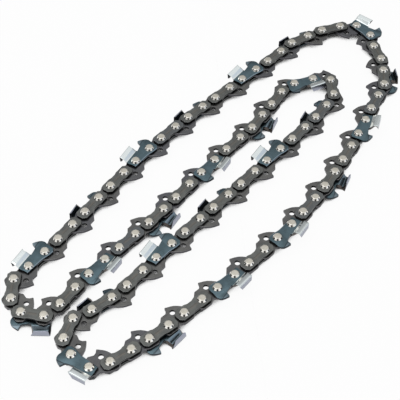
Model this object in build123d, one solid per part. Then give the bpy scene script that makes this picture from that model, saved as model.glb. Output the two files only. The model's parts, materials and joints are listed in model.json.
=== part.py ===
from build123d import *
import math
import os

# A saw chain loop for a 35 cm guide bar, laid on its side in a folded loop, in millimetres.
# X runs along the long runs, Y across them and Z up. The loop rests on its left-hand cutters.
# A pitch is one strap pair and the drive link ahead of it. Pitch k's straps join rivets 2k - 1
# and 2k, and its drive link joins rivets 2k and 2k + 1. The chain travels towards higher numbers.

# Chain
pitch_count = 50
drive_spacing = 8.67
strap_spacing = 9.97
drive_thickness = 1.27
strap_thickness = 1.2
side_clearance = 0.05

# Rivets, with few sides because there are a hundred of them
rivet_diameter = 4.5
rivet_sides = 6
head_height = 0.9
bore_clearance = 0.1
bore_sides = 5

# Drive link, measured from its rivets: shoulders outside the loop and a hooked tang inside it
drive_end = 3.95
drive_end_flat = 1.3
shoulder_height = 4.0
shoulder_back = 2.7
shoulder_inner = 2.1
saddle_height = 2.6
toe_depth = 5.5
toe_setback = 0.5
hook_throat = 5.2
tang_tip = 4.05
tang_depth = 8.1
tang_back_at = 0.2
tang_back_depth = 6.3
oil_hole_diameter = 2.45
oil_hole_at = 3.0
oil_hole_depth = 4.05

# Tie strap
strap_end = 3.85
strap_end_flat = 1.5
strap_half_height = 3.0
strap_shoulder = 2.4

# Cutter side plate and depth gauge
cutter_rear = 3.4
cutter_rear_rise = 1.7
waist_drop = 2.3
waist_front = 3.5
gauge_foot = 2.1
gauge_foot_drop = 3.0
gauge_nose = 3.5
gauge_nose_drop = 1.6
gauge_brow = 3.8
gauge_brow_rise = 3.6
gauge_crest = 2.7
gauge_crest_rise = 5.7
gauge_tip = 0.5
gauge_height = 7.1
gullet_front = 1.4
gullet_front_rise = 4.5
gullet_rise = 3.9

# Cutter tooth: the plate flares out to the kerf, then folds back almost to the chain's middle
tooth_length = 7.5
tooth_climb = 1.05
tooth_root = 0.8
flare_start = 2.9
flare_end = 4.0
tooth_top = 6.55
tooth_reach = 3.9
tooth_stop = 0.25
tooth_plate = 1.15
cutting_angle = 26

# Every second pitch carries a cutter, and the hands alternate. With an odd number of cutters
# one of them repeats the hand of the cutter behind it.
cutter_every = 2
first_cutter = 1
repeated_cutter = 11

# The first pitch of each stretch of the loop, in the order of travel
stretches = [
    ("back_run", 2),
    ("right_turn", 11),
    ("front_run", 16),
    ("front_turn", 26),
    ("inner_front_run", 29),
    ("inner_fold", 36),
    ("inner_back_run", 42),
    ("left_turn", 48),
]

# Drive links that stand alone: the inner fold and the left turn sway on two parallel ones each
swing_links = {
    1: "left_turn_back_link",
    35: "inner_fold_front_link",
    41: "inner_fold_back_link",
    47: "left_turn_inner_link",
}

# How the loop lies, as points that the rivet line passes, in the order of travel
lay = [
    (-107.5, 34.7),
    (-81, 35.2),
    (-43, 38.3),
    (-5.7, 40),
    (31.7, 37.1),
    (69, 33),
    (79, 32.2),
    (87.6, 31.6),
    (96.6, 28.4),
    (104.8, 25.2),
    (112.8, 19.6),
    (118.5, 13),
    (116.6, 3.4),
    (110.2, -2.9),
    (104.8, -10.8),
    (98, -16.8),
    (90.5, -22.3),
    (81.8, -24.6),
    (63.3, -29.4),
    (35.5, -35.6),
    (8.4, -39.4),
    (-20, -39.8),
    (-47.2, -37.6),
    (-75.2, -33.6),
    (-93.6, -30.7),
    (-102.1, -28.4),
    (-111.8, -25.7),
    (-119, -20.9),
    (-119.2, -10.9),
    (-115.3, -3),
    (-106.2, 0.7),
    (-98, -2.4),
    (-88.3, -4.7),
    (-70, -5.5),
    (-42.6, -5.9),
    (-14, -7.4),
    (13.6, -8.4),
    (31.9, -9.2),
    (42, -9.5),
    (51, -9.4),
    (61, -8.7),
    (69.9, -6.5),
    (76.4, 0.9),
    (70.6, 8.1),
    (62.2, 13),
    (53.8, 14),
    (44.7, 12.7),
    (36, 11.7),
    (26.5, 10.3),
    (17.8, 10.6),
    (-11, 10.8),
    (-57, 10.3),
    (-85.7, 11.4),
    (-94.4, 11),
    (-104, 10.2),
    (-112.6, 11.1),
    (-117.5, 19.9),
    (-115.3, 28.1),
]
lay_samples = 4000

plate_inner = drive_thickness / 2 + side_clearance
plate_outer = plate_inner + strap_thickness
rivet_half = plate_outer + head_height
rivet_radius = rivet_diameter / 2
bore_radius = (rivet_radius + bore_clearance) / math.cos(math.pi / bore_sides)
rivet_count = 2 * pitch_count


def plate(points, low, thickness):
    # A flat plate with this outline, lying between two heights
    return Pos(0, 0, low) * extrude(Polygon(*points, align=None), amount=thickness)


def peg(at_x, at_y, radius, sides, low, height):
    # An upright prism that stands for a round pin or hole
    return Pos(at_x, at_y, low) * extrude(RegularPolygon(radius, sides), amount=height)


def drive_link():
    front = drive_spacing
    outline = [
        (-drive_end, -drive_end_flat),
        (tang_back_at, -tang_back_depth),
        (tang_tip, -tang_depth),
        (hook_throat, -toe_depth),
        (front - toe_setback, -toe_depth),
        (front + drive_end, -drive_end_flat),
        (front + drive_end, drive_end_flat),
        (front + shoulder_back, shoulder_height),
        (front - shoulder_inner, shoulder_height),
        (front / 2, saddle_height),
        (shoulder_inner, shoulder_height),
        (-shoulder_back, shoulder_height),
        (-drive_end, drive_end_flat),
    ]
    half = drive_thickness / 2
    link = plate(outline, -half, drive_thickness)
    link -= peg(0, 0, bore_radius, bore_sides, -half, drive_thickness)
    link -= peg(front, 0, bore_radius, bore_sides, -half, drive_thickness)
    return link - peg(oil_hole_at, -oil_hole_depth, oil_hole_diameter / 2, bore_sides, -half, drive_thickness)


def tie_strap():
    # The upper strap of a pair, with clipped corners round each rivet
    front = strap_spacing
    outline = [
        (-strap_end, -strap_end_flat),
        (-strap_shoulder, -strap_half_height),
        (front + strap_shoulder, -strap_half_height),
        (front + strap_end, -strap_end_flat),
        (front + strap_end, strap_end_flat),
        (front + strap_shoulder, strap_half_height),
        (-strap_shoulder, strap_half_height),
        (-strap_end, strap_end_flat),
    ]
    return plate(outline, plate_inner, strap_thickness)


def cutter_tooth():
    # One bent plate, drawn across the chain and drawn out along it, rising to the cutting edge
    section = [
        (tooth_root, plate_inner),
        (flare_start, plate_inner),
        (flare_end, tooth_reach - tooth_plate),
        (tooth_top - tooth_plate, tooth_reach - tooth_plate),
        (tooth_top - tooth_plate, tooth_stop),
        (tooth_top, tooth_stop),
        (tooth_top, tooth_reach),
        (flare_end, tooth_reach),
        (flare_start, plate_outer),
        (tooth_root, plate_outer),
    ]
    across = Plane(origin=(-cutter_rear, 0, 0), x_dir=(0, 1, 0), z_dir=(1, 0, 0))
    run = math.hypot(tooth_length, tooth_climb)
    tooth = extrude(across * Polygon(*section, align=None), amount=run, dir=(tooth_length, tooth_climb, 0))
    slant = math.radians(cutting_angle)
    corner = (tooth_length - cutter_rear, 0, tooth_reach)
    edge = Plane(origin=corner, x_dir=(0, 1, 0), z_dir=(-math.cos(slant), 0, math.sin(slant)))
    return split(tooth, bisect_by=edge, keep=Keep.TOP)


def cutter():
    # A right-hand cutter, whose side plate is the upper strap of its pair
    front = strap_spacing
    tooth_front = tooth_length - cutter_rear
    outline = [
        (-cutter_rear, -waist_drop),
        (front - waist_front, -waist_drop),
        (front + gauge_foot, -gauge_foot_drop),
        (front + gauge_nose, -gauge_nose_drop),
        (front + gauge_brow, gauge_brow_rise),
        (front + gauge_crest, gauge_crest_rise),
        (front - gauge_tip, gauge_height),
        (front - gullet_front, gullet_front_rise),
        (tooth_front, gullet_rise),
        (-cutter_rear, cutter_rear_rise),
    ]
    side = plate(outline, plate_inner, strap_thickness)
    return side + cutter_tooth()


def rivet():
    return peg(0, 0, rivet_radius, rivet_sides, -rivet_half, 2 * rivet_half)


def rivet_places():
    # Steps round the lay with the two spacings in turn. The lay's size is set so that the last step closes.
    curve = Spline(*lay, periodic=True)
    trace = [curve @ (i / lay_samples) for i in range(lay_samples)]
    line = [(point.X, point.Y) for point in trace]
    line.append(line[0])

    def walk(size):
        here = (line[0][0] * size, line[0][1] * size)
        places = [here]
        index = 0
        for step in range(rivet_count):
            reach = drive_spacing if step % 2 == 0 else strap_spacing
            while index < lay_samples:
                end = (line[index + 1][0] * size, line[index + 1][1] * size)
                if math.dist(here, end) >= reach:
                    break
                index += 1
            if index == lay_samples:
                return places, False
            start = (line[index][0] * size, line[index][1] * size)
            along = (end[0] - start[0], end[1] - start[1])
            back = (start[0] - here[0], start[1] - here[1])
            a = along[0] ** 2 + along[1] ** 2
            b = along[0] * back[0] + along[1] * back[1]
            c = back[0] ** 2 + back[1] ** 2 - reach ** 2
            share = (math.sqrt(max(b * b - a * c, 0)) - b) / a
            here = (start[0] + share * along[0], start[1] + share * along[1])
            places.append(here)
        return places, True

    small, large = 0.5, 2.0
    for _ in range(50):
        size = (small + large) / 2
        if walk(size)[1]:
            large = size
        else:
            small = size
    places = walk(large)[0]
    return places[:rivet_count]


def link_place(places, first):
    # Where a link sits whose rear rivet is this one, turned to point at the next
    start = places[first % rivet_count]
    end = places[(first + 1) % rivet_count]
    turn = math.degrees(math.atan2(end[1] - start[1], end[0] - start[0]))
    return Pos(start[0], start[1], tooth_reach) * Rot(0, 0, turn)


def stretch_of(pitch):
    # The last stretch runs on through pitch 0, up to the first
    name = stretches[-1][0]
    for title, first in stretches:
        if pitch >= first:
            name = title
    return name


def build():
    places = rivet_places()
    upper_strap = tie_strap()
    lower_strap = mirror(upper_strap, about=Plane.XY)
    right_cutter = cutter()
    left_cutter = mirror(right_cutter, about=Plane.XY)
    one_drive_link = drive_link()
    one_rivet = rivet()
    nodes = {}

    def add(name, solid, place):
        nodes.setdefault(name, []).append(place * solid)

    for pitch in range(pitch_count):
        stretch = stretch_of(pitch)
        strap_place = link_place(places, 2 * pitch - 1 + rivet_count)
        drive_place = link_place(places, 2 * pitch)
        add(swing_links.get(pitch, stretch + "_drive_links"), one_drive_link, drive_place)
        for spot in (places[2 * pitch - 1], places[2 * pitch]):
            add(stretch + "_rivets", one_rivet, Pos(spot[0], spot[1], tooth_reach))
        number = (pitch - first_cutter) // cutter_every
        if (pitch - first_cutter) % cutter_every:
            add(stretch + "_tie_straps", upper_strap, strap_place)
            add(stretch + "_tie_straps", lower_strap, strap_place)
        elif (number + (number >= repeated_cutter)) % 2 == 0:
            add("right_cutter_" + str(number + 1), right_cutter, strap_place)
            add(stretch + "_tie_straps", lower_strap, strap_place)
        else:
            add("left_cutter_" + str(number + 1), left_cutter, strap_place)
            add(stretch + "_tie_straps", upper_strap, strap_place)
    return nodes


nodes = build()
box = Compound([solid for solids in nodes.values() for solid in solids]).bounding_box()
centre = Pos(-(box.min.X + box.max.X) / 2, -(box.min.Y + box.max.Y) / 2, 0)
os.makedirs("parts", exist_ok=True)
for name, solids in nodes.items():
    placed = [centre * solid for solid in solids]
    export_step(placed[0] if len(placed) == 1 else Compound(placed), "parts/" + name + ".step")
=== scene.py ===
import json
import math

import bmesh
import bpy
from mathutils import Matrix, Vector

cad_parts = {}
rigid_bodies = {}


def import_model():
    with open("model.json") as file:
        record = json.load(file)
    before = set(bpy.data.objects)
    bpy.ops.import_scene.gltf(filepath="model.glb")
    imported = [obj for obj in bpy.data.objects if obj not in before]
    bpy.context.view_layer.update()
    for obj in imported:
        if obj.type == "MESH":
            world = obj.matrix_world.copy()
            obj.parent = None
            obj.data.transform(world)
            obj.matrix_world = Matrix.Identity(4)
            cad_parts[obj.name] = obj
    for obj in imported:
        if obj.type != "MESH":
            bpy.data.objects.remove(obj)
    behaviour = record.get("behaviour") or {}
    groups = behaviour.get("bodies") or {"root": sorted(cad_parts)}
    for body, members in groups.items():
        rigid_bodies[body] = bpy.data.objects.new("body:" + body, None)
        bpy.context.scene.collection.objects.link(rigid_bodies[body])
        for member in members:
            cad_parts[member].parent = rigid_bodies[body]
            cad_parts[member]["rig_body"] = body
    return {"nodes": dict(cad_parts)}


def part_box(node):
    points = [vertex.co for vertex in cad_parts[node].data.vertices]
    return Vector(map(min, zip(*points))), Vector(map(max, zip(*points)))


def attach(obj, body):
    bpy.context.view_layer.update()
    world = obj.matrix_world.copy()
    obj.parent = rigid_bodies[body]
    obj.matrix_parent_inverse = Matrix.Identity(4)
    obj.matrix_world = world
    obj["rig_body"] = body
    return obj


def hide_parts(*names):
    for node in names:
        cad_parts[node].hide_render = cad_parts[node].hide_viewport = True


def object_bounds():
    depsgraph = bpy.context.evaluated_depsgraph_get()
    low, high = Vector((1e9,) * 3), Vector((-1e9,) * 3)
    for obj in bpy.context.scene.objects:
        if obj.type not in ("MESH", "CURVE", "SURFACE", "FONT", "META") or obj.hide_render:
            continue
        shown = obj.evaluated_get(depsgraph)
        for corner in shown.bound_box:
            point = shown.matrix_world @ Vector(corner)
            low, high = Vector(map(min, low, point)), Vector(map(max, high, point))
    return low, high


# A saw chain loop lying on its side. The links are drawn in millimetres, flat, from their rear
# rivet: u runs along the travel, v to the cutters' side and w up. They are then set on the
# rivets that the frame gives.
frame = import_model()
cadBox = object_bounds()
scene = bpy.context.scene
mm = 0.001
middleHeight = (cadBox[0].z + cadBox[1].z) / 2


# Where the links are

cornerGap = 1e-6  # corners of the frame's triangles closer than this, in metres, are one
bodyOf = {name: node["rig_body"] for name, node in frame["nodes"].items()}
pins = []  # middles of the rivets
places = {}  # by kind and body: rear rivet, turn, and which of two links
replaced = {}  # by kind and body: the frame's nodes


def solidsOf(nodeName):
    # the corners of each solid in a node, from a welded copy of its loose triangles
    copy = bmesh.new()
    copy.from_mesh(frame["nodes"][nodeName].data)
    bmesh.ops.remove_doubles(copy, verts=copy.verts, dist=cornerGap)
    seen = set()
    solids = []
    for first in copy.verts:
        if first in seen:
            continue
        seen.add(first)
        waiting = [first]
        solid = []
        while waiting:
            corner = waiting.pop()
            solid.append(corner.co.copy())
            for edge in corner.link_edges:
                other = edge.other_vert(corner)
                if other not in seen:
                    seen.add(other)
                    waiting.append(other)
        solids.append(solid)
    copy.free()
    return solids


def middleOf(points):
    return sum(points, Vector((0, 0, 0))) / len(points)


def fromMiddle(height):
    # millimetres above the chain's middle
    return (height - middleHeight) / mm


def nearestPins(point):
    flat = point.to_2d()
    return sorted(range(len(pins)), key=lambda pin: (pins[pin] - flat).length)[:2]


def placeLink(kind, body, rear, front, pick=0):
    along = pins[front] - pins[rear]
    turn = math.atan2(along.y, along.x)
    places.setdefault((kind, body), []).append((pins[rear], turn, pick))


def replaceNode(kind, name):
    replaced.setdefault((kind, bodyOf[name]), []).append(name)


for name in sorted(frame["nodes"]):
    if name.endswith("_rivets"):
        for solid in solidsOf(name):
            pin = middleOf(solid).to_2d()
            pins.append(pin)
            places.setdefault(("rivets", bodyOf[name]), []).append((pin, 0.0, 0))
        rivetTop = fromMiddle(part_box(name)[1].z)
        replaceNode("rivets", name)

linkFronts = set()
for name in sorted(frame["nodes"]):
    if name.endswith("_drive_links") or name.endswith("_link"):
        for solid in solidsOf(name):
            middle = middleOf(solid)
            rear, front = nearestPins(middle)
            along = pins[front] - pins[rear]
            towardsTang = middle.to_2d() - (pins[rear] + pins[front]) / 2
            if along.cross(towardsTang) > 0:  # the tang lies to the right of the travel
                rear, front = front, rear
            linkFronts.add(front)
            placeLink("drive_links", bodyOf[name], rear, front)
            driveSpacing = along.length / mm
        driveTop = fromMiddle(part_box(name)[1].z)
        replaceNode("drive_links", name)

for name in sorted(frame["nodes"]):
    kind = "tie_straps" if name.endswith("_tie_straps") else "cutters"
    if kind == "cutters" and "_cutter_" not in name:
        continue
    for solid in solidsOf(name):
        rear, front = nearestPins(middleOf(solid))
        if rear not in linkFronts:  # a strap starts where a drive link ends
            rear, front = front, rear
        strapSpacing = (pins[front] - pins[rear]).length / mm
        lower = middleOf(solid).z < middleHeight
        placeLink(kind, bodyOf[name], rear, front, int(lower))
        if kind == "tie_straps" and not lower:
            strapBottom = fromMiddle(min(point.z for point in solid))
            strapTop = fromMiddle(max(point.z for point in solid))
    replaceNode(kind, name)
toothReach = fromMiddle(cadBox[1].z)
print("links placed:", {kind: sum(len(spots) for key, spots in places.items() if key[0] == kind)
                        for kind in ("rivets", "drive_links", "tie_straps", "cutters")})


# Shapes of one link of each sort

arcStep = 0.35  # the turn of one facet of a rounded corner, in radians
sideShare = 0.48  # the most of a side that an arc may take
seamGap = 0.002  # corners of a plate closer than this, in millimetres, are one
levelFace = 0.99  # faces more level than this stay flat


def bend(back, corner, ahead, radius, steps):
    # the arc of that radius, or of what fits, in place of a corner
    toBack = back - corner
    toAhead = ahead - corner
    turn = math.pi - toBack.angle(toAhead)
    reach = min(radius * math.tan(turn / 2), sideShare * toBack.length, sideShare * toAhead.length)
    start = corner + toBack.normalized() * reach
    end = corner + toAhead.normalized() * reach
    inward = (toBack.normalized() + toAhead.normalized()).normalized()
    centre = corner + inward * math.hypot(reach, reach / math.tan(turn / 2))
    sweep = (start - centre).angle(end - centre)
    return [centre + ((start - centre) * math.sin((1 - step / steps) * sweep)
                      + (end - centre) * math.sin(step / steps * sweep)) / math.sin(sweep)
            for step in range(steps + 1)]


def rounded(corners, closed=True):
    # an outline whose corners (u, v, radius) are arcs
    points = []
    spots = [Vector(corner[:2]) for corner in corners]
    for index, corner in enumerate(corners):
        inside = closed or 0 < index < len(corners) - 1
        if inside and len(corner) > 2 and corner[2] > 0:
            back, ahead = spots[index - 1], spots[(index + 1) % len(spots)]
            turn = math.pi - (back - spots[index]).angle(ahead - spots[index])
            steps = max(2, math.ceil(turn / arcStep))
            points += bend(back, spots[index], ahead, corner[2], steps)
        else:
            points.append(spots[index])
    return points


def circle(u, v, diameter, sides):
    turns = [2 * math.pi * side / sides for side in range(sides)]
    return [Vector((u + diameter / 2 * math.cos(turn), v + diameter / 2 * math.sin(turn)))
            for turn in turns]


def asPlainMesh(source):
    # what an object's curve or modifiers make, as a mesh of its own
    scene.collection.objects.link(source)
    graph = bpy.context.evaluated_depsgraph_get()
    mesh = bpy.data.meshes.new_from_object(source.evaluated_get(graph),
                                           preserve_all_data_layers=True, depsgraph=graph)
    scene.collection.objects.unlink(source)
    return mesh


def finishLink(name, mesh, sharpAngle, flatArea=math.inf):
    # large faces stay flat, the rest are smooth up to sharp edges, and every corner keeps its
    # place on the link
    for polygon in mesh.polygons:
        polygon.use_smooth = polygon.area < flatArea
    mesh.set_sharp_from_angle(angle=math.radians(sharpAngle))
    linkPoint = mesh.attributes.new("linkPoint", "FLOAT_VECTOR", "POINT")
    values = [value for corner in mesh.vertices for value in corner.co]
    linkPoint.data.foreach_set("vector", values)
    mesh.transform(Matrix.Scale(mm, 4))
    made = bpy.data.objects.new(name, mesh)
    scene.collection.objects.link(made)
    return made


def finishPlate(name, mesh, sharpAngle):
    # its two level sides are flat
    made = finishLink(name, mesh, sharpAngle)
    for polygon in mesh.polygons:
        polygon.use_smooth = abs(polygon.normal.z) < levelFace
    return made


def plate(name, outlines, low, high, rim):
    # a flat plate with rounded rims, from its outline and its holes
    curve = bpy.data.curves.new(name, "CURVE")
    curve.dimensions = "2D"
    curve.fill_mode = "BOTH"
    curve.extrude = (high - low) / 2 - rim
    curve.bevel_depth = rim
    curve.bevel_resolution = 1
    curve.offset = -rim
    for outline in outlines:
        spline = curve.splines.new("POLY")
        spline.points.add(len(outline) - 1)
        for point, spot in zip(spline.points, outline):
            point.co = (spot.x, spot.y, 0, 1)
        spline.use_cyclic_u = True
    mesh = asPlainMesh(bpy.data.objects.new(name + "Outline", curve))
    work = bmesh.new()
    work.from_mesh(mesh)
    bmesh.ops.remove_doubles(work, verts=work.verts, dist=seamGap)
    bmesh.ops.translate(work, verts=work.verts, vec=(0, 0, (low + high) / 2))
    bmesh.ops.recalc_face_normals(work, faces=work.faces)
    work.to_mesh(mesh)
    work.free()
    return mesh


rivet = {
    "diameter": 4.5, "shaft": 4.3, "sides": 20, "sharpAngle": 50,
    "neck": 0.3, "seat": 0.02,  # depths below the strap's face between which the shaft widens
    # the head from its flat top to the strap, as shares of its radius and height
    "dome": [(0.56, 1.0), (0.66, 0.985), (0.73, 0.9), (0.77, 0.767), (0.96, 0.133), (1.0, 0.0)],
}


def rivetMesh(look):
    # a shaft with a domed, peened head over each side plate, turned on its axis
    shaft, head, headHeight = look["shaft"] / 2, look["diameter"] / 2, rivetTop - strapTop
    profile = [(shaft, 0.0), (shaft, strapTop - look["neck"]), (head, strapTop - look["seat"])]
    for across, up in reversed(look["dome"]):
        profile.append((head * across, strapTop + headHeight * up))
    work = bmesh.new()
    levels = [(radius, -height) for radius, height in reversed(profile[1:])] + profile
    rings = []
    for radius, height in levels:
        rings.append([work.verts.new((spot.x, spot.y, height))
                      for spot in circle(0, 0, 2 * radius, look["sides"])])
    for below, above in zip(rings, rings[1:]):
        for side in range(look["sides"]):
            after = (side + 1) % look["sides"]
            work.faces.new((below[side], below[after], above[after], above[side]))
    for ring, height in ((rings[0], -rivetTop), (rings[-1], rivetTop)):
        pole = work.verts.new((0, 0, height))
        for side in range(look["sides"]):
            work.faces.new((ring[side], ring[(side + 1) % look["sides"]], pole))
    bmesh.ops.recalc_face_normals(work, faces=work.faces)
    mesh = bpy.data.meshes.new("rivet")
    work.to_mesh(mesh)
    work.free()
    return mesh


driveLink = {
    "rim": 0.16, "sharpAngle": 40,
    "boreClearance": 0.1, "holeSides": 16,
    "oilHole": (3.0, -4.05, 2.4),
    "tang": [(-3.95, -1.3, 1.6), (0.2, -6.3, 7.0), (4.05, -8.1, 0.35), (4.6, -6.5, 1.6),
             (5.6, -5.5, 0.8)],
    "toe": [(8.2, -5.5, 0.4), (12.6, -1.3, 1.6)],
    "shoulders": [(12.6, 1.3, 1.4), (11.2, 3.75, 1.7), (6.6, 3.75, 1.6), (4.33, 2.6, 1.6),
                  (2.06, 3.75, 1.6), (-2.6, 3.75, 1.7), (-3.95, 1.3, 1.4)],
}
driveBore = rivet["diameter"] + driveLink["boreClearance"]
driveHoles = [circle(u, v, diameter, driveLink["holeSides"]) for u, v, diameter in
              ((0, 0, driveBore), (driveSpacing, 0, driveBore), driveLink["oilHole"])]
driveOutline = rounded(driveLink["tang"] + driveLink["toe"] + driveLink["shoulders"])
driveMesh = plate("driveLink", [driveOutline] + driveHoles, -driveTop, driveTop, driveLink["rim"])

tieStrap = {
    "rim": 0.13, "sharpAngle": 40,
    "end": (3.85, 1.5), "shoulder": 2.45, "halfHeight": 3.0, "endRadius": 0.3,
    "waistUpper": 2.6, "waistLower": -2.4, "waistStart": 2.3, "waistInset": 3.7,
    "waistStartRadius": 1.5, "waistRadius": 2.0,
}


def strapOutline(look):
    span, shoulder, half = strapSpacing, look["shoulder"], look["halfHeight"]
    end, flat = look["end"]
    corner = look["endRadius"]

    def waist(edge, level):
        start, inset = look["waistStart"], look["waistInset"]
        startRadius, radius = look["waistStartRadius"], look["waistRadius"]
        return [(start, edge, startRadius), (inset, level, radius),
                (span - inset, level, radius), (span - start, edge, startRadius)]

    frontEnd = [(span + shoulder, -half, corner), (span + end, -flat, corner),
                (span + end, flat, corner), (span + shoulder, half, corner)]
    rearEnd = [(-shoulder, half, corner), (-end, flat, corner),
               (-end, -flat, corner), (-shoulder, -half, corner)]
    lower, upper = waist(-half, look["waistLower"]), waist(half, look["waistUpper"])
    return rounded(lower + frontEnd + upper[::-1] + rearEnd)


strapMesh = plate("tieStrap", [strapOutline(tieStrap)], strapBottom, strapTop, tieStrap["rim"])
lowerStrapMesh = plate("lowerTieStrap", [strapOutline(tieStrap)], -strapTop, -strapBottom,
                       tieStrap["rim"])

cutter = {
    "rim": 0.1, "rimSteps": 2, "rimAngle": 32, "sharpAngle": 32, "flatArea": 3.0,
    "lower": [(-2.95, -2.25, 0), (6.2, -2.2, 6.0), (10.0, -2.95, 4.0), (12.2, -3.0, 0)],
    "chamfer": (0.3, 0.26),  # on the lower edge, across and down
    "rear": (-3.12, -0.2),
    "nose": [(13.4, -1.8, 0.8), (13.45, 1.5, 3.0), (13.8, 3.5, 1.5), (13.35, 4.85, 1.5)],
    "crease": ((12.55, 5.75), (8.9, 4.9)), "gaugeLean": 0.28,
    "gauge": [(11.2, 6.45, 2.0), (9.45, 7.05, 0.3)],
    "gullet": [(8.6, 4.4, 0.8)],
    # the tooth's section from the plate out to its top's tip, at its rear and its cutting edge
    "toothRear": [(-3.4, 0.7, strapTop), (-3.65, 2.65, strapTop), (-3.8, 4.0, 3.05),
                  (-3.9, 5.2, 3.33), (-4.0, 6.42, 3.6), (-3.7, 6.45, 0.25)],
    "toothFront": [(5.05, 3.3, strapTop), (4.8, 3.85, strapTop), (4.2, 5.25, 3.4),
                   (3.9, 6.35, 3.63), (4.3, 7.6, toothReach), (2.5, 7.4, 0.25)],
    "bends": (2.0, 0.4, 0, 0.4), "innerBends": (1.0, 0.3, 0, 0.2), "bendSteps": 5, "stations": 9,
    # the inner skin's darkness is painted shade
    "platedFrom": 3, "darkFrom": 14,  # rows where the outer skin turns plated, the inner one dark
    # from the outer skin in to the inner one, and how far its ends are then cut back
    "inwards": [(0, -1.2), (0.42, -1.2), (0.42, -1.15), (0, -1.15), (-1.15, -1.15), (-0.5, 0)],
    "filedBack": (0, 0.5, 0.8, 0.8, 0.8, 0.6), "rearBack": (0, 0.5, 0.9, 0.9, 0.9, 0.6),
}
# the number that each face of a cutter keeps for its finish; the gauge tip's number marks a
# painted highlight, the dark one painted shade and the satin one a partly painted reflection
skins = {"blued": 0.0, "plated": 1.0, "filed": 2.0, "satinAndReflection": 3.0, "gaugeTip": 4.0, "dark": 5.0}


def creaseOf(look):
    # a point on the depth gauge's crease, and the way across it
    front, rear = [Vector(point) for point in look["crease"]]
    return rear, (front - rear).orthogonal().normalized()


def toothLine(look, ends, inner):
    # the tooth's bent section at its rear or its front edge, on its outer or its inner skin
    line = [Vector(end) for end in ends]
    if inner:
        filed = ends is look["toothFront"]
        backs = [-back for back in look["filedBack"]] if filed else look["rearBack"]
        line = [point + Vector((back, *step))
                for point, back, step in zip(line, backs, look["inwards"])]
    points = [line[0]]
    for index, radius in enumerate(look["innerBends"] if inner else look["bends"], 1):
        if radius:
            points += bend(*line[index - 1:index + 2], radius, look["bendSteps"])
        else:
            points.append(line[index])
    return points + [line[-1]]


def cutterMesh(look, name):
    # side plate, leaning depth gauge and bent tooth as one closed skin
    work = bmesh.new()
    finish = work.faces.layers.float.new("finish")

    def face(corners, skin="blued"):
        made = work.faces.new(corners)
        made[finish] = skins[skin]

    def grid(inner):
        rear = toothLine(look, look["toothRear"], inner)
        front = toothLine(look, look["toothFront"], inner)
        return [[work.verts.new(start.lerp(end, station / look["stations"]))
                 for station in range(look["stations"] + 1)] for start, end in zip(rear, front)]

    def corners(spots, height):
        return [work.verts.new((spot.x, spot.y, height)) for spot in spots]

    outer, inner = grid(False), grid(True)
    crease = look["crease"]
    lower = rounded(look["lower"], closed=False)
    nose = rounded([look["lower"][-1]] + look["nose"] + [crease[0]], closed=False)[1:]
    gauge = rounded([crease[0]] + look["gauge"] + [crease[1]], closed=False)[1:]
    gullet = rounded([crease[1]] + look["gullet"] + [look["toothFront"][0]], closed=False)[1:-1]
    creaseRear, upright = creaseOf(look)

    def leanOut(spot):
        # how far the gauge leans out above its crease
        if spot not in gauge:
            return 0
        return max(0, (spot - creaseRear).dot(upright)) * look["gaugeLean"]

    rim = nose + gauge + gullet
    tops = [work.verts.new((spot.x, spot.y, strapTop + leanOut(spot))) for spot in rim]
    lows = [work.verts.new((spot.x, spot.y, strapBottom + leanOut(spot))) for spot in rim]
    chamferAcross, chamferDown = look["chamfer"]
    edgeTops = corners([spot + Vector((0, chamferAcross)) for spot in lower], strapTop)
    edges = corners(lower, strapTop - chamferDown)
    edgeLows = corners(lower, strapBottom)
    rearSpot = [Vector(look["rear"])]
    rearTop, rearLow = corners(rearSpot, strapTop), corners(rearSpot, strapBottom)

    noseEnd, gaugeEnd = len(nose), len(nose) + len(gauge)
    for ring, lowRow, foot, rear in ((tops, edgeTops, outer[0], rearTop),
                                     (lows, edgeLows, inner[0], rearLow)):
        face(lowRow + ring[:noseEnd] + ring[gaugeEnd - 1:] + foot[::-1] + rear)
        face(ring[noseEnd - 1:gaugeEnd], "gaugeTip")
    for index in range(len(lower) - 1):
        face([edgeTops[index], edges[index], edges[index + 1], edgeTops[index + 1]])
        face([edges[index], edgeLows[index], edgeLows[index + 1], edges[index + 1]])
    face([edges[-1], edgeLows[-1], lows[0], tops[0], edgeTops[-1]])
    face([edgeTops[0]] + rearTop + rearLow + [edgeLows[0], edges[0]])
    face(rearTop + [outer[0][0], inner[0][0]] + rearLow)
    tops.append(outer[0][-1])
    lows.append(inner[0][-1])
    for index in range(len(tops) - 1):
        face([tops[index], lows[index], lows[index + 1], tops[index + 1]])

    topRow = len(outer) - 2
    for row in range(len(outer) - 1):
        plated = row >= look["platedFrom"]
        # the top plate's satin colour is partly a painted reflection; the inner skin near the top
        # is painted shade
        outerSkin = "satinAndReflection" if row == topRow else "plated" if plated else "blued"
        innerSkin = "dark" if row >= look["darkFrom"] else "blued"
        for station in range(look["stations"]):
            for side, skin in ((outer, outerSkin), (inner, innerSkin)):
                face([side[row][station], side[row][station + 1],
                      side[row + 1][station + 1], side[row + 1][station]], skin)
        # the tooth's rear end faces, and its front ones below the plating, are painted shade
        for station, skin in ((0, "dark"), (-1, "filed" if plated else "dark")):
            face([outer[row][station], outer[row + 1][station],
                  inner[row + 1][station], inner[row][station]], skin)
    # the top edge is satin too, with the same partly painted reflection
    for station in range(look["stations"]):
        face([outer[-1][station], outer[-1][station + 1],
              inner[-1][station + 1], inner[-1][station]], "satinAndReflection")

    bmesh.ops.recalc_face_normals(work, faces=work.faces)
    mesh = bpy.data.meshes.new(name + "Skin")
    work.to_mesh(mesh)
    work.free()
    blank = bpy.data.objects.new(name + "Skin", mesh)
    edge = blank.modifiers.new("rim", "BEVEL")
    edge.width = look["rim"]
    edge.segments = look["rimSteps"]
    edge.limit_method = "ANGLE"
    edge.angle_limit = math.radians(look["rimAngle"])
    return asPlainMesh(blank)


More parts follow.
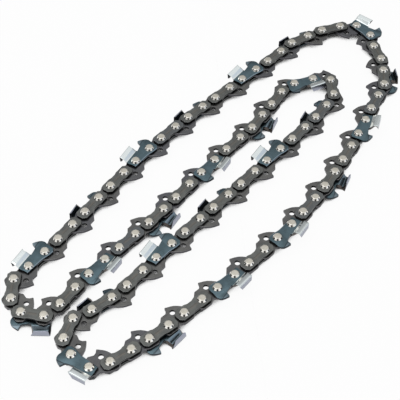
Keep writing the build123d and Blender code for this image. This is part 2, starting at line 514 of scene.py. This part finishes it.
def mirrored(mesh, name):
    # the other hand of a link
    copy = mesh.copy()
    copy.name = name
    copy.transform(Matrix.Diagonal((1, 1, -1, 1)))
    copy.flip_normals()
    return copy


rightMesh = cutterMesh(cutter, "rightCutter")
leftMesh = mirrored(rightMesh, "leftCutter")
links = {
    "drive_links": [finishPlate("driveLink", driveMesh, driveLink["sharpAngle"])],
    "tie_straps": [finishPlate(name, mesh, tieStrap["sharpAngle"]) for name, mesh in
                   (("tieStrap", strapMesh), ("lowerTieStrap", lowerStrapMesh))],
    "cutters": [finishLink(name, mesh, cutter["sharpAngle"], cutter["flatArea"]) for name, mesh in
                (("rightCutter", rightMesh), ("leftCutter", leftMesh))],
    "rivets": [finishLink("rivet", rivetMesh(rivet), rivet["sharpAngle"])],
}
print("links drawn:", {kind: [len(made.data.polygons) for made in pair]
                       for kind, pair in links.items()})


# Finishes

class Wire:
    # a socket of a shader tree, on which sums add Math nodes
    def __init__(self, tree, socket=None):
        self.tree = tree
        self.socket = socket

    def node(self, kind, settings=None, sockets=None, out=0):
        # any node: its type, its settings, then the values or links of its sockets
        made = self.tree.nodes.new(kind)
        for name, value in (settings or {}).items():
            setattr(made, name, value)
        for name, value in (sockets or {}).items():
            if isinstance(value, Wire):
                self.tree.links.new(value.socket, made.inputs[name])
            else:
                made.inputs[name].default_value = value
        return Wire(self.tree, made.outputs[out])

    def sums(self, operation, first, second=0.0):
        return self.node("ShaderNodeMath", {"operation": operation}, {0: first, 1: second})

    def vectors(self, operation, second=(0, 0, 0), out=0):
        return self.node("ShaderNodeVectorMath", {"operation": operation},
                         {0: self, 1: second}, out)

    def __add__(self, other):
        return self.sums("ADD", self, other)

    def __radd__(self, other):
        return self.sums("ADD", other, self)

    def __sub__(self, other):
        return self.sums("SUBTRACT", self, other)

    def __rsub__(self, other):
        return self.sums("SUBTRACT", other, self)

    def __mul__(self, other):
        return self.sums("MULTIPLY", self, other)

    def __rmul__(self, other):
        return self.sums("MULTIPLY", other, self)

    def __abs__(self):
        return self.sums("ABSOLUTE", self)

    def between(self, low, high):
        # 0 up to low, 1 from high on, smooth in between
        return self.node("ShaderNodeMapRange", {"interpolation_type": "SMOOTHSTEP"},
                         {"Value": self, "From Min": low, "From Max": high})

    def within(self, low, lowFull, highFull, high):
        # 1 between the two middle values, falling to 0 at the outer ones
        return self.between(low, lowFull) * self.between(high, highFull)

    def mixed(self, first, second):
        # colours mixed by this value
        return self.node("ShaderNodeMix", {"data_type": "RGBA"}, {0: self, 6: first, 7: second}, 2)

    def part(self, axis):
        return self.node("ShaderNodeSeparateXYZ", None, {0: self}, axis)

    def noise(self, scale, detail, stretch=(1, 1, 1)):
        # cloudy pattern on these coordinates
        spread = self.vectors("MULTIPLY", stretch)
        return self.node("ShaderNodeTexNoise", None,
                         {"Vector": spread, "Scale": scale, "Detail": detail})

    def attribute(self, name, out="Fac"):
        return self.node("ShaderNodeAttribute", {"attribute_name": name}, None, out)

    def occlusion(self, samples, reach):
        # 0 where something is close by, 1 in the open
        return self.node("ShaderNodeAmbientOcclusion", {"samples": samples},
                         {"Distance": reach}, "AO")

    def bumps(self, strength, distance):
        return self.node("ShaderNodeBump", None,
                         {"Height": self, "Strength": strength, "Distance": distance})

    def feed(self, shader, name):
        self.tree.links.new(self.socket, shader.inputs[name])


def colour(red, green, blue):
    # a colour as it looks on a screen, 0 to 255, in the linear values that sockets take
    return [(value / 255 / 12.92 if value <= 10 else ((value / 255 + 0.055) / 1.055) ** 2.4)
            for value in (red, green, blue)] + [1.0]


patternShift = (61.0, 37.0, 11.0)  # how far a link's own shade moves the patterns on it
creviceSamples = 8  # rays that look for metal close by


def newFinish(name):
    # a material and its shader, with the place on the link in millimetres, the same shifted for
    # each link, and how level the face is
    material = bpy.data.materials.new(name)
    material.use_nodes = True
    start = Wire(material.node_tree)
    spot = start.attribute("linkPoint", "Vector")
    shade = start.attribute("shade")
    shift = start.node("ShaderNodeCombineXYZ", None,
                       {axis: shade * far for axis, far in enumerate(patternShift)})
    facing = abs(start.node("ShaderNodeTexCoord", None, None, "Normal").part(2))
    shader = material.node_tree.nodes["Principled BSDF"]
    return material, shader, spot, spot.vectors("ADD", shift), facing


# a noise has its scale, detail and stretch, a mask the values where it starts and is full, a band
# those of both of its edges, and a bump its strength and distance
linkPattern = {
    "cloud": (0.3, 4.0), "cloudEnds": (0.3, 0.7), "cloudShare": 0.55,
    "drawn": (1.0, 3.0, (0.18, 2.6, 1.0)), "drawnShare": 0.45,  # fine lines along the link
    "grain": (7.0, 2.0), "grainEnds": (0.35, 0.6),
    "bluish": (0.55, 1.0),  # shades of the links that turn bluish
    "streakAlong": (2.4, 3.4, 6.6, 7.6), "streakAcross": (-0.7, -0.2, 0.4, 1.0),
    "streakSway": 0.4, "streakDrawn": 0.6, "streakDepth": 0.75,
    "lineAcross": (-0.45, -0.3, -0.2, -0.05), "lineDepth": 0.35,
    # the rim values place a partly painted highlight, the wall values partly painted shade, the
    # hole and crevice values painted shade
    "rim": (0.1, 0.45, 0.8, 0.97), "rimLeast": 0.45, "wall": (0.5, 0.1),
    "holeRim": (0.98, 0.85), "holeEdge": (0.5, 0.3),
    "creviceReach": 0.0014, "creviceEnds": (0.25, 0.85),
    "roughCloud": 0.1, "roughGrain": 0.06,
    "bump": (0.12, 0.0001), "bumpDrawn": 0.6, "bumpGrain": 0.4,
}


def linkSteel(name, look, pattern):
    # oiled dark steel: cloudy, faintly drawn along its length, paler on its rolled rims (partly
    # wear, partly a painted highlight), with darker walls (partly painted shade) and painted shade
    # in its oil hole and where other metal is close by
    material, shader, spot, place, facing = newFinish(name)
    shade = spot.attribute("shade")
    cloud = place.noise(*pattern["cloud"]).between(*pattern["cloudEnds"])
    drawn = place.noise(*pattern["drawn"])
    grain = place.noise(*pattern["grain"])
    blotches = cloud * pattern["cloudShare"] + drawn * pattern["drawnShare"]
    tone = blotches.mixed(look["dark"], look["light"])
    tone = shade.between(*pattern["bluish"]).mixed(tone, look["blue"])
    if "streak" in look:  # a worn streak along the middle, with a fine dark line in it
        along = spot.part(0).within(*pattern["streakAlong"])
        across = spot.part(1) + pattern["streakSway"] * (shade - 0.5)
        fine = (1 - pattern["streakDrawn"]) + pattern["streakDrawn"] * drawn
        streak = across.within(*pattern["streakAcross"]) * along * fine
        line = across.within(*pattern["lineAcross"]) * along
        tone = (pattern["streakDepth"] * streak).mixed(tone, look["streak"])
        tone = (pattern["lineDepth"] * line).mixed(tone, look["wall"])
    # rims paler: partly wear, partly a painted highlight
    wearAndHighlight = pattern["rimLeast"] + (1 - pattern["rimLeast"]) * grain.between(*pattern["grainEnds"])
    tone = (facing.within(*pattern["rim"]) * wearAndHighlight).mixed(tone, look["rim"])
    # walls darker: partly the sheared steel's own tone, partly painted shade
    tone = facing.between(*pattern["wall"]).mixed(tone, look["wall"])
    # painted shade: the oil hole's wall and rims are darkened
    if "hole" in look:  # the oil hole's wall and rims
        u, v, diameter = look["hole"]
        outside, inside = [diameter / 2 + edge for edge in pattern["holeEdge"]]
        near = spot.vectors("DISTANCE", (u, v, 0), "Value").between(outside, inside)
        tone = (facing.between(*pattern["holeRim"]) * near).mixed(tone, look["deep"])
    # painted shade: the colour darkens where other metal is close by
    clear = tone.occlusion(creviceSamples, pattern["creviceReach"])
    clear = clear.between(*pattern["creviceEnds"])
    clear.mixed(look["deep"], tone).feed(shader, "Base Color")
    rough = look["rough"] + pattern["roughCloud"] * cloud + pattern["roughGrain"] * grain
    rough.feed(shader, "Roughness")
    relief = drawn * pattern["bumpDrawn"] + grain * pattern["bumpGrain"]
    relief.bumps(*pattern["bump"]).feed(shader, "Normal")
    shader.inputs["Metallic"].default_value = look["metal"]
    return material


cutterPattern = {
    "skinEdge": (0.4, 0.6),  # how far from a skin's number its finish is full, and ends
    "cloud": (0.28, 4.0), "cloudEnds": (0.3, 0.72), "cloudShare": 0.6,
    "drawn": (1.0, 3.0, (0.2, 3.0, 1.0)), "drawnShare": 0.4, "grain": (8.0, 2.0),
    "ground": (1.0, 2.0, (0.35, 9.0, 9.0)), "groundEnds": (0.25, 0.75),  # marks on the plating
    # the crease values place painted shade, the rim values a partly painted highlight, the wall
    # values partly painted shade, the crevice values painted shade
    "crease": (-0.35, -0.1, 0.1, 0.4), "creaseFrom": (8.6, 8.9), "creaseShadeDepth": 0.7,
    "rim": (0.1, 0.45, 0.86, 0.985), "rimLeast": 0.5, "wall": (0.45, 0.1),
    "creviceReach": 0.003, "creviceEnds": (0.25, 0.75),
    "roughCloud": 0.14, "roughGrain": 0.08, "roughRim": 0.1,
    "chromeRoughGround": 0.05, "chromeRoughSatin": 0.2,
    "bump": (0.1, 0.0001), "bumpDrawn": 0.5, "bumpGrain": 0.3,
}


def cutterSteel(name, look, pattern):
    # blued plate, plated tooth and filed cutting edge, with a painted highlight on the gauge tip,
    # rims paler partly as a painted highlight, walls darker partly as painted shade, painted shade
    # on the crease, the tooth's inside and crevices, and a partly painted reflection on the satin
    # top plate
    material, shader, spot, place, facing = newFinish(name)
    finish = place.attribute("finish")
    full, end = pattern["skinEdge"]
    bright, filed, satinAndReflection, tip, dark = [
        finish.within(skins[skin] - end, skins[skin] - full, skins[skin] + full, skins[skin] + end)
        for skin in ("plated", "filed", "satinAndReflection", "gaugeTip", "dark")]
    plated = bright + satinAndReflection
    bare = 1 - plated
    cloud = place.noise(*pattern["cloud"]).between(*pattern["cloudEnds"])
    drawn = place.noise(*pattern["drawn"])
    ground = place.noise(*pattern["ground"])
    grain = place.noise(*pattern["grain"])
    blotches = cloud * pattern["cloudShare"] + drawn * pattern["drawnShare"]
    tone = blotches.mixed(look["deep"], look["blue"])
    # painted highlight: the leaning gauge tip is lighter
    tone = tip.mixed(tone, look["tip"])
    # painted shade along the depth gauge's crease
    creaseRear, upright = creaseOf(cutter)
    above = spot.part(0) * upright.x + spot.part(1) * upright.y - creaseRear.dot(upright)
    onGauge = spot.part(0).between(*pattern["creaseFrom"]) * bare
    creaseShade = above.within(*pattern["crease"]) * onGauge
    tone = (pattern["creaseShadeDepth"] * creaseShade).mixed(tone, look["wall"])
    # rims paler: partly wear, partly a painted highlight
    rim = facing.within(*pattern["rim"])
    wearAndHighlight = pattern["rimLeast"] + (1 - pattern["rimLeast"]) * grain
    tone = (rim * wearAndHighlight).mixed(tone, look["rim"])
    # walls darker: partly the sheared steel's own tone, partly painted shade
    tone = facing.between(*pattern["wall"]).mixed(tone, look["wall"])
    shine = ground.between(*pattern["groundEnds"]).mixed(look["chromeDark"], look["chrome"])
    tone = bright.mixed(tone, shine)
    # the satin top plate's colour is partly a painted reflection, and the inside is painted shade
    for mask, colourName in ((satinAndReflection, "satinAndReflection"), (filed, "filed"), (dark, "inside")):
        tone = mask.mixed(tone, look[colourName])
    # painted shade: the colour darkens where other metal is close by
    clear = tone.occlusion(creviceSamples, pattern["creviceReach"])
    clear = clear.between(*pattern["creviceEnds"])
    clear.mixed(look["creviceShade"], tone).feed(shader, "Base Color")
    steelRough = look["rough"] + pattern["roughCloud"] * cloud + pattern["roughGrain"] * grain
    steelRough = steelRough - pattern["roughRim"] * rim
    chromeRough = look["chromeRough"] + pattern["chromeRoughGround"] * ground
    chromeRough = chromeRough + pattern["chromeRoughSatin"] * satinAndReflection
    (steelRough * bare + chromeRough * plated).feed(shader, "Roughness")
    relief = (drawn * pattern["bumpDrawn"] + grain * pattern["bumpGrain"]) * bare
    relief.bumps(*pattern["bump"]).feed(shader, "Normal")
    (look["metal"] * bare + plated).feed(shader, "Metallic")
    return material


rivetPattern = {
    "cloud": (0.6, 4.0), "cloudEnds": (0.3, 0.7), "cloudShare": 0.7,
    "grain": (6.0, 3.0), "grainShare": 0.3,
    "rings": 22.0, "top": (0.9, 0.98), "roughTop": 0.26, "roughGrain": 0.05,
    "bump": (0.1, 0.0001), "bumpRings": 0.25, "bumpGrain": 0.75,
}


def rivetSteel(name, look, pattern):
    # nickel-bright peened heads with faint rings from the spinning tool, burnished at their rims
    material, shader, spot, place, facing = newFinish(name)
    radius = spot.vectors("MULTIPLY", (1, 1, 0)).vectors("LENGTH", out="Value")
    rings = radius.sums("SINE", radius * pattern["rings"])
    cloud = place.noise(*pattern["cloud"]).between(*pattern["cloudEnds"])
    grain = place.noise(*pattern["grain"])
    top = facing.between(*pattern["top"])
    blotches = cloud * pattern["cloudShare"] + grain * pattern["grainShare"]
    tone = blotches.mixed(look["dull"], look["bright"])
    top.mixed(look["rim"], tone).feed(shader, "Base Color")
    rough = look["rough"] + pattern["roughTop"] * top + pattern["roughGrain"] * grain
    rough.feed(shader, "Roughness")
    relief = (rings * pattern["bumpRings"] + grain * pattern["bumpGrain"]) * top
    relief.bumps(*pattern["bump"]).feed(shader, "Normal")
    shader.inputs["Metallic"].default_value = look["metal"]
    return material


finishes = {
    # on the drive links and tie straps the rim colour is partly a painted highlight, the wall
    # colour partly painted shade and the deep colour painted shade
    "drive_links": linkSteel("driveLinkSteel", {
        "dark": colour(88, 88, 88), "light": colour(116, 116, 114), "blue": colour(96, 97, 101),
        "rim": colour(160, 159, 160), "wall": colour(76, 75, 79), "deep": colour(20, 20, 22),
        "hole": driveLink["oilHole"], "rough": 0.18, "metal": 0.9}, linkPattern),
    "tie_straps": linkSteel("tieStrapSteel", {
        "dark": colour(90, 92, 91), "light": colour(119, 121, 118), "blue": colour(100, 104, 107),
        "rim": colour(176, 179, 180), "wall": colour(38, 38, 39), "streak": colour(118, 113, 106),
        "deep": colour(24, 24, 24), "rough": 0.2, "metal": 0.9}, linkPattern),
    "cutters": cutterSteel("cutterSteel", {
        # on the cutters the tip colour is a painted highlight, the rim colour partly one, the wall
        # colour partly painted shade, the inside colour and the darkest colour painted shade, and
        # the satin colour partly a painted reflection
        "deep": colour(76, 92, 98), "blue": colour(98, 119, 128), "tip": colour(108, 123, 131),
        "rim": colour(150, 166, 176), "wall": colour(46, 52, 58), "filed": colour(84, 78, 75),
        "chrome": colour(232, 239, 239), "chromeDark": colour(224, 231, 232),
        "satinAndReflection": colour(156, 160, 173), "inside": colour(30, 33, 36),
        "creviceShade": colour(18, 21, 24),
        "rough": 0.22, "chromeRough": 0.12, "metal": 0.9}, cutterPattern),
    "rivets": rivetSteel("rivetSteel", {
        "dull": colour(196, 192, 180), "bright": colour(218, 214, 203),
        "rim": colour(252, 249, 242), "rough": 0.05, "metal": 1.0}, rivetPattern),
}
print("finishes mixed:", len(finishes))


# The links set on their rivets

def linksOnRivets():
    # sets one of two links on each point, turned to the next rivet, and gives each its own shade
    tree = bpy.data.node_groups.new("linksOnRivets", "GeometryNodeTree")
    sockets = {}
    for name, kind in (("Rivets", "Geometry"), ("Link", "Object"), ("Other Link", "Object"),
                       ("Finish", "Material"), ("Size", "Float"), ("Seed", "Int")):
        made = tree.interface.new_socket(name, in_out="INPUT", socket_type="NodeSocket" + kind)
        sockets[name] = made.identifier
    tree.interface.new_socket("Links", in_out="OUTPUT", socket_type="NodeSocketGeometry")

    def add(kind, settings=None, inputs=None):
        made = tree.nodes.new(kind)
        for name, value in (settings or {}).items():
            setattr(made, name, value)
        for name, value in (inputs or {}).items():
            if isinstance(value, bpy.types.NodeSocket):
                tree.links.new(value, made.inputs[name])
            else:
                made.inputs[name].default_value = value
        return made

    given = add("NodeGroupInput").outputs
    turn = add("GeometryNodeInputNamedAttribute", {"data_type": "FLOAT"}, {"Name": "turn"})
    pick = add("GeometryNodeInputNamedAttribute", {"data_type": "INT"}, {"Name": "pick"})
    facing = add("ShaderNodeCombineXYZ", None, {"Z": turn.outputs["Attribute"]})
    joined = add("GeometryNodeJoinGeometry")
    for number, name in enumerate(("Link", "Other Link")):
        shape = add("GeometryNodeObjectInfo", {"transform_space": "ORIGINAL"},
                    {"Object": given[name]})
        chosen = add("FunctionNodeCompare", {"data_type": "INT", "operation": "EQUAL"},
                     {2: pick.outputs["Attribute"], 3: number})
        laid = add("GeometryNodeInstanceOnPoints", None, {
            "Points": given["Rivets"], "Selection": chosen.outputs["Result"],
            "Instance": shape.outputs["Geometry"], "Rotation": facing.outputs["Vector"],
            "Scale": given["Size"]})
        tree.links.new(laid.outputs["Instances"], joined.inputs["Geometry"])
    chance = add("FunctionNodeRandomValue", {"data_type": "FLOAT"}, {"Seed": given["Seed"]})
    shaded = add("GeometryNodeStoreNamedAttribute", {"data_type": "FLOAT", "domain": "INSTANCE"},
                 {"Geometry": joined.outputs["Geometry"], "Name": "shade",
                  "Value": chance.outputs[1]})
    real = add("GeometryNodeRealizeInstances", None, {"Geometry": shaded.outputs["Geometry"]})
    painted = add("GeometryNodeSetMaterial", None,
                  {"Geometry": real.outputs["Geometry"], "Material": given["Finish"]})
    add("NodeGroupOutput", None, {"Links": painted.outputs["Geometry"]})
    return tree, sockets


linkTree, linkSockets = linksOnRivets()
for number, ((kind, body), spots) in enumerate(sorted(places.items(), key=lambda item: item[0])):
    pinSpots, turns, picks = zip(*spots)
    points = bpy.data.meshes.new(body + "_" + kind)
    points.from_pydata([(spot.x, spot.y, middleHeight) for spot in pinSpots], [], [])
    points.attributes.new("turn", "FLOAT", "POINT").data.foreach_set("value", turns)
    points.attributes.new("pick", "INT", "POINT").data.foreach_set("value", picks)
    piece = bpy.data.objects.new(body + "_" + kind, points)
    layer = piece.modifiers.new("linksOnRivets", "NODES")
    layer.node_group = linkTree
    layer[linkSockets["Link"]] = links[kind][0]
    layer[linkSockets["Other Link"]] = links[kind][-1]
    layer[linkSockets["Finish"]] = finishes[kind]
    layer[linkSockets["Size"]] = 1.0
    layer[linkSockets["Seed"]] = number
    chained = asPlainMesh(piece)
    piece.modifiers.remove(layer)
    piece.data = chained
    chained.name = piece.name
    scene.collection.objects.link(piece)
    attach(piece, body)
    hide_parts(*replaced[(kind, body)])
    print("laid", piece.name, len(spots), "links,", len(chained.polygons), "faces")
for pair in links.values():
    for made in pair:
        bpy.data.objects.remove(made)


# Floor, light and camera

viewpoint = {
    "place": (-0.250548, -0.204112, 0.3613),
    "right": (0.6405306, -0.7672093, -0.0333241),
    "up": (0.5965742, 0.4698077, 0.6506765),
    "lens": 93.657, "sensor": 36.0,
}
camera = bpy.data.objects.new("camera", bpy.data.cameras.new("camera"))
camera.data.lens = viewpoint["lens"]
camera.data.sensor_width = viewpoint["sensor"]
right, up = Vector(viewpoint["right"]), Vector(viewpoint["up"])
turned = Matrix((right, up, right.cross(up))).transposed().to_4x4()
camera.matrix_world = Matrix.Translation(viewpoint["place"]) @ turned
scene.collection.objects.link(camera)
scene.camera = camera

paleFloor = {
    "size": 30.0, "colour": (0.92, 0.92, 0.92, 1.0),
    "white": 0.95,  # the share of plain white in what is seen of it
    # the dark contact shadow, how far it reaches and where it fades
    "shadow": (0.2, 0.2, 0.2, 1.0), "shadowReach": 0.006, "shadowEdge": (0.22, 0.42),
    "shadowSamples": 16,
}
half = paleFloor["size"] / 2
floorMesh = bpy.data.meshes.new("floor")
floorMesh.from_pydata([(-half, -half, 0), (half, -half, 0), (half, half, 0), (-half, half, 0)],
                      [], [(0, 1, 2, 3)])
floor = bpy.data.objects.new("floor", floorMesh)
floor.location.z = cadBox[0].z
scene.collection.objects.link(floor)
paper = bpy.data.materials.new("paleFloor")
paper.use_nodes = True
paper.node_tree.nodes.clear()
start = Wire(paper.node_tree)
path = start.node("ShaderNodeLightPath").socket.node.outputs
cameraRay, glossyRay, clearRay = [Wire(paper.node_tree, path[name]) for name in
                                  ("Is Camera Ray", "Is Glossy Ray", "Is Transmission Ray")]
seen = start.sums("MAXIMUM", start.sums("MAXIMUM", cameraRay, glossyRay), clearRay)
clear = start.occlusion(paleFloor["shadowSamples"], paleFloor["shadowReach"])
clear = clear.between(*paleFloor["shadowEdge"])
matt = start.node("ShaderNodeBsdfDiffuse", None,
                  {"Color": clear.mixed(paleFloor["shadow"], paleFloor["colour"])})
white = start.node("ShaderNodeEmission", None, {"Color": (1, 1, 1, 1), "Strength": 1.0})
both = start.node("ShaderNodeMixShader", None,
                  {0: seen * clear * paleFloor["white"], 1: matt, 2: white})
both.feed(paper.node_tree.nodes.new("ShaderNodeOutputMaterial"), "Surface")
floorMesh.materials.append(paper)

# angles are in degrees from the camera's side, heights are sines of the angle above the floor
studio = {
    "horizon": 0.4, "zenith": 1.0, "climb": (0.45, 0.8), "strength": 0.9,
    "cameraDark": (20.0, 12.0), "cameraDarkTop": (0.9, 0.8),
    "sideDark": (62.0, 72.0, 98.0, 108.0), "sideDarkTop": (0.38, 0.26), "darkness": 0.92,
    "lobes": (16.0, 30.0, 60.0, 75.0), "lobeTop": (0.5, 0.25), "lobeGain": 0.6,
    "right": (45.0, 60.0, 100.0, 120.0), "rightTop": (0.75, 0.5), "rightEdge": (0.0, 0.1),
    "rightGain": 0.35, "rightRed": 0.06, "rightBlue": 0.1,
}
world = bpy.data.worlds.new("studio")
world.use_nodes = True
scene.world = world
start = Wire(world.node_tree)
heading = start.node("ShaderNodeTexCoord", None, None, "Generated")
height = heading.part(2)
toCamera = Vector(viewpoint["place"]).to_2d().normalized()
nearness = heading.part(0) * toCamera.x + heading.part(1) * toCamera.y
sideways = heading.part(0) * -toCamera.y + heading.part(1) * toCamera.x
offset = abs(start.sums("ARCTAN2", sideways, nearness)) * (180 / math.pi)
cameraDark = offset.between(*studio["cameraDark"]) * height.between(*studio["cameraDarkTop"])
sideDark = offset.within(*studio["sideDark"]) * height.between(*studio["sideDarkTop"])
lobes = offset.within(*studio["lobes"]) * height.between(*studio["lobeTop"])
rightward = offset.within(*studio["right"]) * height.between(*studio["rightTop"])
rightward = rightward * sideways.between(*studio["rightEdge"])
sky = studio["horizon"] + (studio["zenith"] - studio["horizon"]) * height.between(*studio["climb"])
bright = sky + studio["lobeGain"] * lobes + studio["rightGain"] * rightward
for dark in (cameraDark, sideDark):
    bright = bright * (1 - studio["darkness"] * dark)
glow = start.node("ShaderNodeCombineColor", None,
                  {0: bright * (1 - studio["rightRed"] * rightward), 1: bright,
                   2: bright * (1 + studio["rightBlue"] * rightward)})
backdrop = world.node_tree.nodes["Background"]
glow.feed(backdrop, "Color")
backdrop.inputs["Strength"].default_value = studio["strength"]

keyLight = {"direction": (-0.2, 0.25, 1.0), "distance": 0.9, "size": 0.55, "power": 1.0}
lamp = bpy.data.lights.new("softbox", "AREA")
lamp.size = keyLight["size"]
lamp.energy = keyLight["power"]
softbox = bpy.data.objects.new("softbox", lamp)
softbox.location = Vector(keyLight["direction"]).normalized() * keyLight["distance"]
softbox.rotation_euler = Vector(keyLight["direction"]).to_track_quat("Z", "Y").to_euler()
scene.collection.objects.link(softbox)
print("floor, light and camera set")

scene.view_settings.view_transform = "Standard"
print("scene ready")
